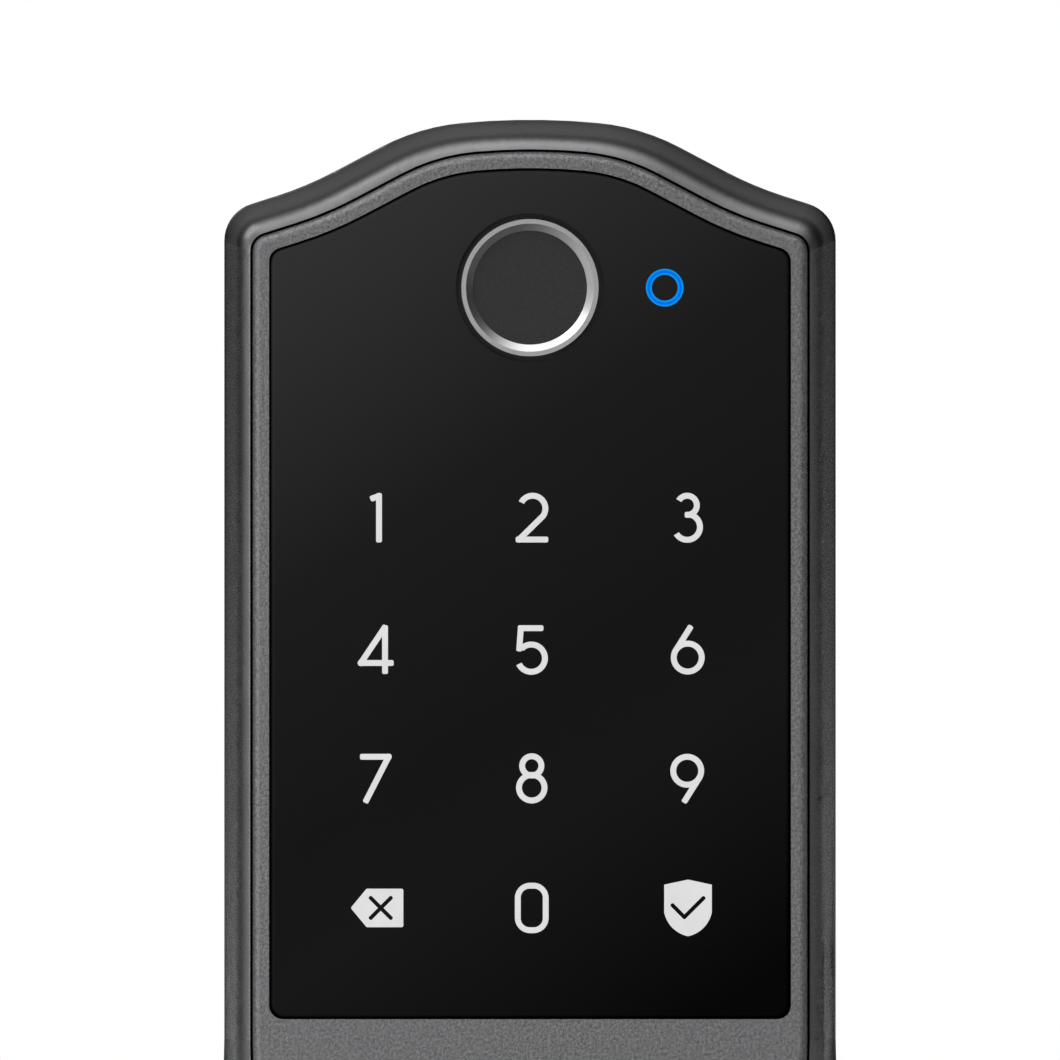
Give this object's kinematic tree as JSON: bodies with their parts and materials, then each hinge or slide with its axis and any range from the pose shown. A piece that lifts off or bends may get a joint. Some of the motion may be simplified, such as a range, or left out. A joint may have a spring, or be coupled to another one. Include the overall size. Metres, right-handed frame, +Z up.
{
  "type": "keypad smart lock",
  "caption": "Arched exterior keypad unit with fingerprint sensor and key cylinder, tubular deadbolt latch and motor-driven inside unit with thumb-turn, spaced for a door",
  "frame": {"origin": "centre of the door's cross bore (the key cylinder and tailpiece axis) on the door's outer face", "axes": "X to the right seen from outside, towards the door's edge and the bolt; Y into the door, from outside to inside; Z up"},
  "size_m": [0.1062, 0.1216, 0.1587],
  "materials": {
    "shell_graphite": "satin textured",
    "plate_graphite": "fine textured satin",
    "panel_glass": "gloss black glass",
    "legend_white": "lit white",
    "status_blue": "lit blue",
    "bezel_metal": "satin dark steel",
    "sensor_black": "fine matte",
    "rubber_black": "matte",
    "board_green": "satin solder mask",
    "chip_black": "matte",
    "diffuser_white": "milky",
    "frame_plastic": "moulded",
    "cover_plastic": "fine moulded texture",
    "zinc_steel": "zinc plated",
    "screw_steel": "plated",
    "cylinder_brass": "turned",
    "cylinder_dark": "satin graphite",
    "bolt_steel": "satin",
    "gear_white": "moulded acetal",
    "motor_steel": "drawn can",
    "cell_wrap": "plain printed wrap",
    "nickel": "nickel plated",
    "knob_graphite": "satin",
    "cable_white": "flat flexible cable",
    "button_red": "moulded"
  },
  "bodies": {
    "lock_body": {"outer_shell": "shell_graphite", "face_plate": "plate_graphite", "touch_glass": "panel_glass", "keypad_legends": "legend_white", "status_light_ring": "status_blue", "glass_seal": "rubber_black", "sensor_bezel": "bezel_metal", "sensor_seal": "rubber_black", "fingerprint_sensor": "sensor_black", "sensor_board": "board_green", "backlight_guide": "diffuser_white", "keypad_board": "board_green", "board_components": "chip_black", "keypad_carrier": "frame_plastic", "carrier_clamp_screws": "screw_steel", "buzzer": "nickel", "rear_plate": "zinc_steel", "housing_screws": "screw_steel", "mounting_posts": "zinc_steel", "weather_gasket": "rubber_black", "cylinder_housing": "cylinder_dark", "cylinder_ring": "cylinder_dark", "cylinder_screws": "screw_steel", "driver_pins": "cylinder_brass", "pin_springs": "nickel", "latch_case": "zinc_steel", "latch_faceplate": "bolt_steel", "inner_mounting_plate": "zinc_steel", "through_bolts": "screw_steel", "inner_chassis": "frame_plastic", "chassis_screws": "screw_steel", "gear_axles": "screw_steel", "gearbox_plate": "frame_plastic", "gearbox_screws": "screw_steel", "drive_motor": "motor_steel", "main_board": "board_green", "main_board_components": "chip_black", "batteries": "cell_wrap", "battery_contacts": "nickel", "inner_cover": "cover_plastic", "cover_screws": "screw_steel", "turn_bushing": "gear_white", "link_cable": "cable_white"},
    "deadbolt_slider": {"deadbolt": "bolt_steel", "saw_guard_pin": "screw_steel"},
    "drive_line": {"latch_crank": "zinc_steel", "tailpiece": "zinc_steel", "turn_spindle": "zinc_steel", "output_gear": "gear_white", "thumb_turn": "knob_graphite", "thumb_turn_clip": "screw_steel"},
    "plug": {"key_plug": "cylinder_brass", "key_pins": "cylinder_brass", "plug_clip": "screw_steel"},
    "second_gear_spin": {"second_gear": "gear_white"},
    "first_gear_spin": {"first_gear": "gear_white"},
    "pinion_spin": {"motor_pinion": "cylinder_brass"},
    "button": {"setup_button": "button_red"},
    "battery_lid": {"battery_cover": "cover_plastic"}
  },
  "joints": [
    {"name": "turn_hinge", "type": "hinge", "parent": "lock_body", "child": "drive_line", "pos_m": [0, 0.0225, 0], "axis": [0, -1, 0], "range_deg": [0, 90]},
    {"name": "bolt_slide", "type": "slide", "parent": "lock_body", "child": "deadbolt_slider", "axis": [1, 0, 0], "range_m": [0, 0.0254]},
    {"name": "key_turn", "type": "hinge", "parent": "lock_body", "child": "plug", "pos_m": [0, -0.012, 0], "axis": [0, -1, 0], "range_deg": [-90, 90]},
    {"name": "second_gear_turn", "type": "hinge", "parent": "lock_body", "child": "second_gear_spin", "pos_m": [-0.00216, 0.0535, 0.02471], "axis": [0, -1, 0], "range_deg": [-309, 0]},
    {"name": "first_gear_turn", "type": "hinge", "parent": "lock_body", "child": "first_gear_spin", "pos_m": [0.01233, 0.056, 0.02859], "axis": [0, -1, 0], "range_deg": [0, 794]},
    {"name": "motor_turn", "type": "hinge", "parent": "lock_body", "child": "pinion_spin", "pos_m": [0.02152, 0.0573, 0.0194], "axis": [0, -1, 0], "range_deg": [-2646, 0]},
    {"name": "setup_button_press", "type": "slide", "parent": "lock_body", "child": "button", "axis": [0, -1, 0], "range_m": [0, 0.001], "stiffness_N_per_m": 300},
    {"name": "battery_cover_slide", "type": "slide", "parent": "lock_body", "child": "battery_lid", "axis": [0, 0, 1], "range_m": [0, 0.06]}
  ],
  "couplings": [
    {"joint": "bolt_slide", "follows": "turn_hinge", "m_per_rad": 0.01617},
    {"joint": "second_gear_turn", "follows": "turn_hinge", "ratio": -3.4286},
    {"joint": "first_gear_turn", "follows": "turn_hinge", "ratio": 8.8163},
    {"joint": "motor_turn", "follows": "turn_hinge", "ratio": -29.388}
  ]
}
